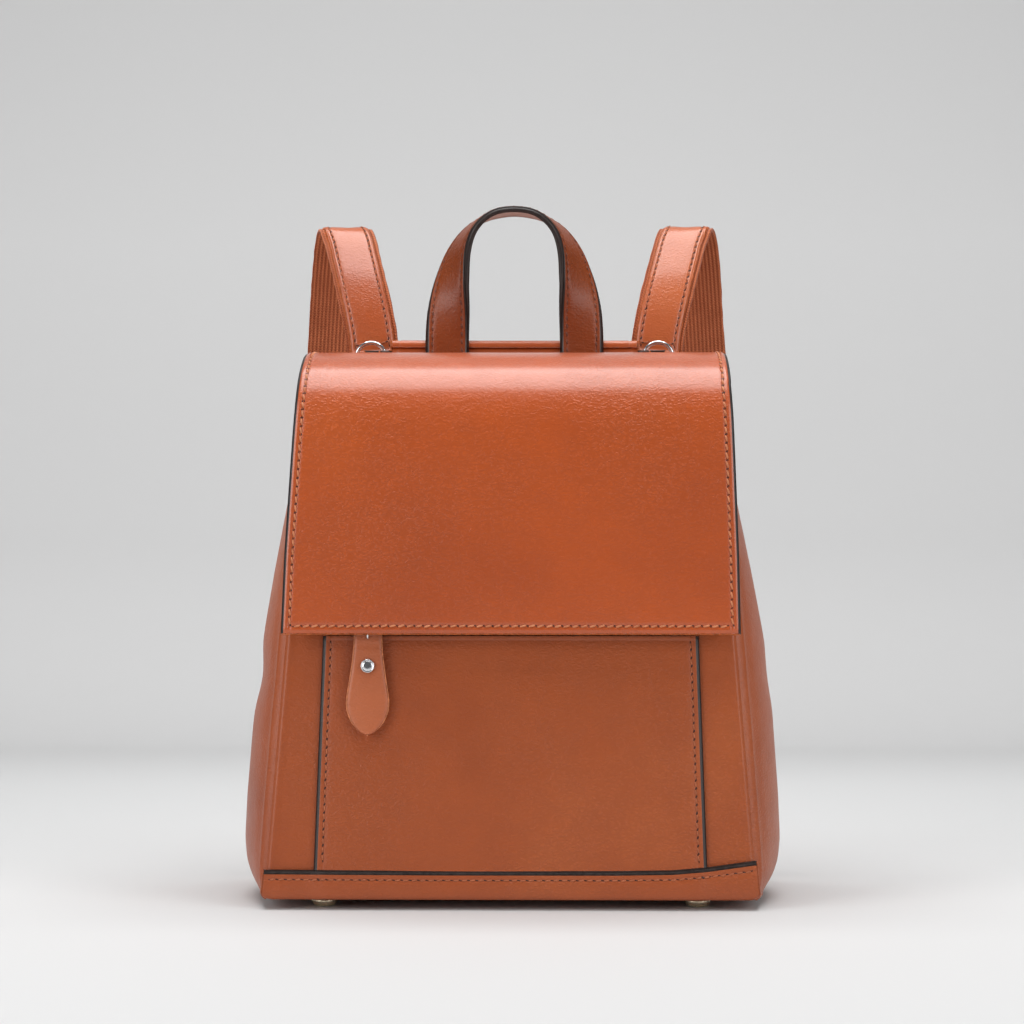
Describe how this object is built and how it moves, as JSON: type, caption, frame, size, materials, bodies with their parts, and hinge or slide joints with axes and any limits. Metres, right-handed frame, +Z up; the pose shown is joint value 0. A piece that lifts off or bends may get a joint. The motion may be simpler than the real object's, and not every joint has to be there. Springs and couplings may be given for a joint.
{
  "type": "leather backpack",
  "caption": "Small structured leather backpack with a folded flap over a zipped front pocket, a carry handle, strap loops and purse feet.",
  "frame": {"origin": "middle of the bounding box on the ground, under the feet", "axes": "+Z up, -Y out of the front with the flap and zip pull, +X to the viewer's right of the front"},
  "size_m": [0.3146, 0.2061, 0.41],
  "materials": {
    "tan_leather": "smooth cognac leather with fine grain and a soft gloss",
    "dark_leather": "dark brown leather, painted edges",
    "webbing": "rust coloured ribbed webbing",
    "lining_cloth": "plain woven lining",
    "zip_tape": "woven zip tape",
    "board": "stiffener board",
    "nickel": "polished nickel",
    "foot_brass": "pale brass"
  },
  "bodies": {
    "root": {"front_panel": "tan_leather", "back_panel": "tan_leather", "left_gusset": "tan_leather", "right_gusset": "tan_leather", "base_panel": "tan_leather", "base_board": "board", "bottom_band": "tan_leather", "back_band": "tan_leather", "feet": "foot_brass", "lining": "lining_cloth", "rim_facing": "tan_leather", "pocket_panel": "tan_leather", "zip_facing": "tan_leather", "zip_tape": "zip_tape", "zip_chain": "nickel", "zip_stops": "nickel", "snap_patch": "tan_leather", "snap_socket": "nickel", "flap_seam_strip": "tan_leather", "handle_ends": "tan_leather", "yoke_band": "tan_leather", "yoke_tabs": "dark_leather", "top_rings": "nickel", "lower_tabs": "tan_leather", "lower_rings": "nickel"},
    "flap_top": {"flap_top_leather": "tan_leather", "flap_top_lining": "lining_cloth"},
    "flap_front": {"flap_front_leather": "tan_leather", "flap_front_lining": "lining_cloth", "snap_stud": "nickel"},
    "handle": {"handle": "tan_leather"},
    "zip_slider": {"zip_slider": "nickel"},
    "zip_pull": {"pull_link": "nickel", "zip_pull": "tan_leather", "pull_rivet": "nickel"},
    "left_strap": {"left_strap_backing": "webbing", "left_strap_leather": "tan_leather", "left_strap_loop": "tan_leather", "left_strap_rivets": "nickel", "left_adjuster": "nickel", "left_lower_strap": "tan_leather", "left_lower_loop": "tan_leather", "left_keeper": "tan_leather"},
    "right_strap": {"right_strap_backing": "webbing", "right_strap_leather": "tan_leather", "right_strap_loop": "tan_leather", "right_strap_rivets": "nickel", "right_adjuster": "nickel", "right_lower_strap": "tan_leather", "right_lower_loop": "tan_leather", "right_keeper": "tan_leather"}
  },
  "joints": [
    {"name": "flap_hinge", "type": "hinge", "parent": "root", "child": "flap_top", "pos_m": [0, 0.0227, 0.314], "axis": [-1, 0, 0], "range_deg": [0, 75]},
    {"name": "flap_fold", "type": "hinge", "parent": "flap_top", "child": "flap_front", "pos_m": [0, -0.0533, 0.3162], "axis": [-1, 0, 0], "range_deg": [0, 85]},
    {"name": "handle_tilt", "type": "hinge", "parent": "root", "child": "handle", "pos_m": [0, 0.0351, 0.333], "axis": [-1, 0, 0], "range_deg": [-8, 35], "stiffness_Nm_per_rad": 0.15},
    {"name": "zip_slide", "type": "slide", "parent": "root", "child": "zip_slider", "axis": [1, 0, 0], "range_m": [0, 0.165]},
    {"name": "pull_swing", "type": "hinge", "parent": "zip_slider", "child": "zip_pull", "pos_m": [-0.082, -0.09435, 0.15565], "axis": [-1, 0, 0], "range_deg": [0, 40]},
    {"name": "left_strap_swing", "type": "hinge", "parent": "root", "child": "left_strap", "pos_m": [-0.0878, 0.039, 0.3104], "axis": [0.1364, -0.0489, 0.9894], "range_deg": [-8, 12], "stiffness_Nm_per_rad": 0.2},
    {"name": "right_strap_swing", "type": "hinge", "parent": "root", "child": "right_strap", "pos_m": [0.0878, 0.039, 0.3104], "axis": [0.1364, 0.0489, -0.9894], "range_deg": [-8, 12], "stiffness_Nm_per_rad": 0.2}
  ]
}
